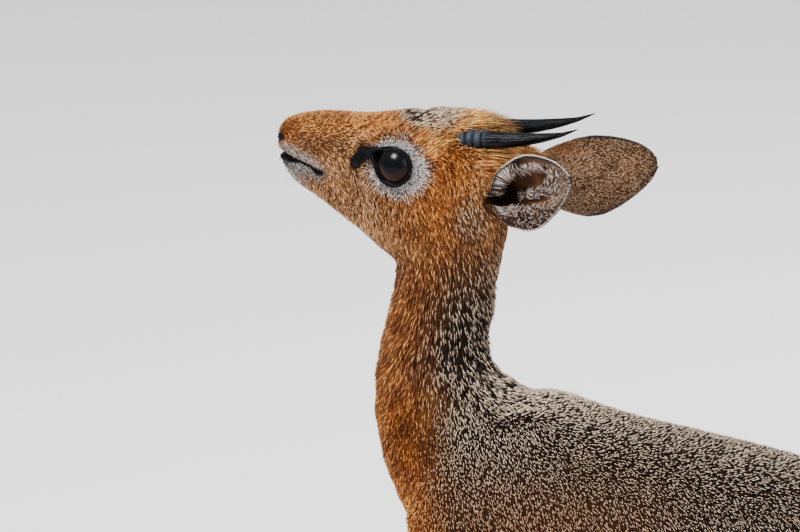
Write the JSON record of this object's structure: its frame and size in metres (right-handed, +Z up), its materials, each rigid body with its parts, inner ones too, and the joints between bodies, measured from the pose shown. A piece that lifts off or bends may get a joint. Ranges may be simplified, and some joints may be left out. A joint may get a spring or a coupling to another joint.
{
  "type": "dik-dik model",
  "caption": "Life-size still model of a male dik-dik, a small slender antelope with short ringed horns and large ears, standing with its head stretched up.",
  "frame": {"origin": "on the floor, under the middle of the bounding box", "axes": "+Z up; the animal faces -X, and its left side is toward -Y"},
  "size_m": [0.438, 0.1376, 0.5565],
  "materials": {
    "coat": "short orange-brown hair",
    "grizzle": "short dark hair flecked with cream",
    "ear": "thin skin with fine grey-brown hair",
    "eye": "wet, dark and glossy",
    "horn": "dark horn with a dull sheen"
  },
  "bodies": {
    "root": {"head": "coat", "muzzle": "coat", "jaw": "coat", "neck": "grizzle", "chest": "grizzle", "barrel": "grizzle", "rump": "grizzle", "tail": "grizzle", "forearm_left": "coat", "forearm_right": "coat", "fore_cannon_left": "coat", "fore_cannon_right": "coat", "fore_foot_left": "coat", "fore_foot_right": "coat", "shank_left": "coat", "shank_right": "coat", "hind_cannon_left": "coat", "hind_cannon_right": "coat", "hind_foot_left": "coat", "hind_foot_right": "coat", "ear_left": "ear", "ear_right": "ear", "eye_left": "eye", "eye_right": "eye", "horn_left": "horn", "horn_right": "horn", "hoof_front_left_inner": "horn", "hoof_front_left_outer": "horn", "hoof_front_right_inner": "horn", "hoof_front_right_outer": "horn", "hoof_hind_left_inner": "horn", "hoof_hind_left_outer": "horn", "hoof_hind_right_inner": "horn", "hoof_hind_right_outer": "horn"}
  },
  "joints": []
}
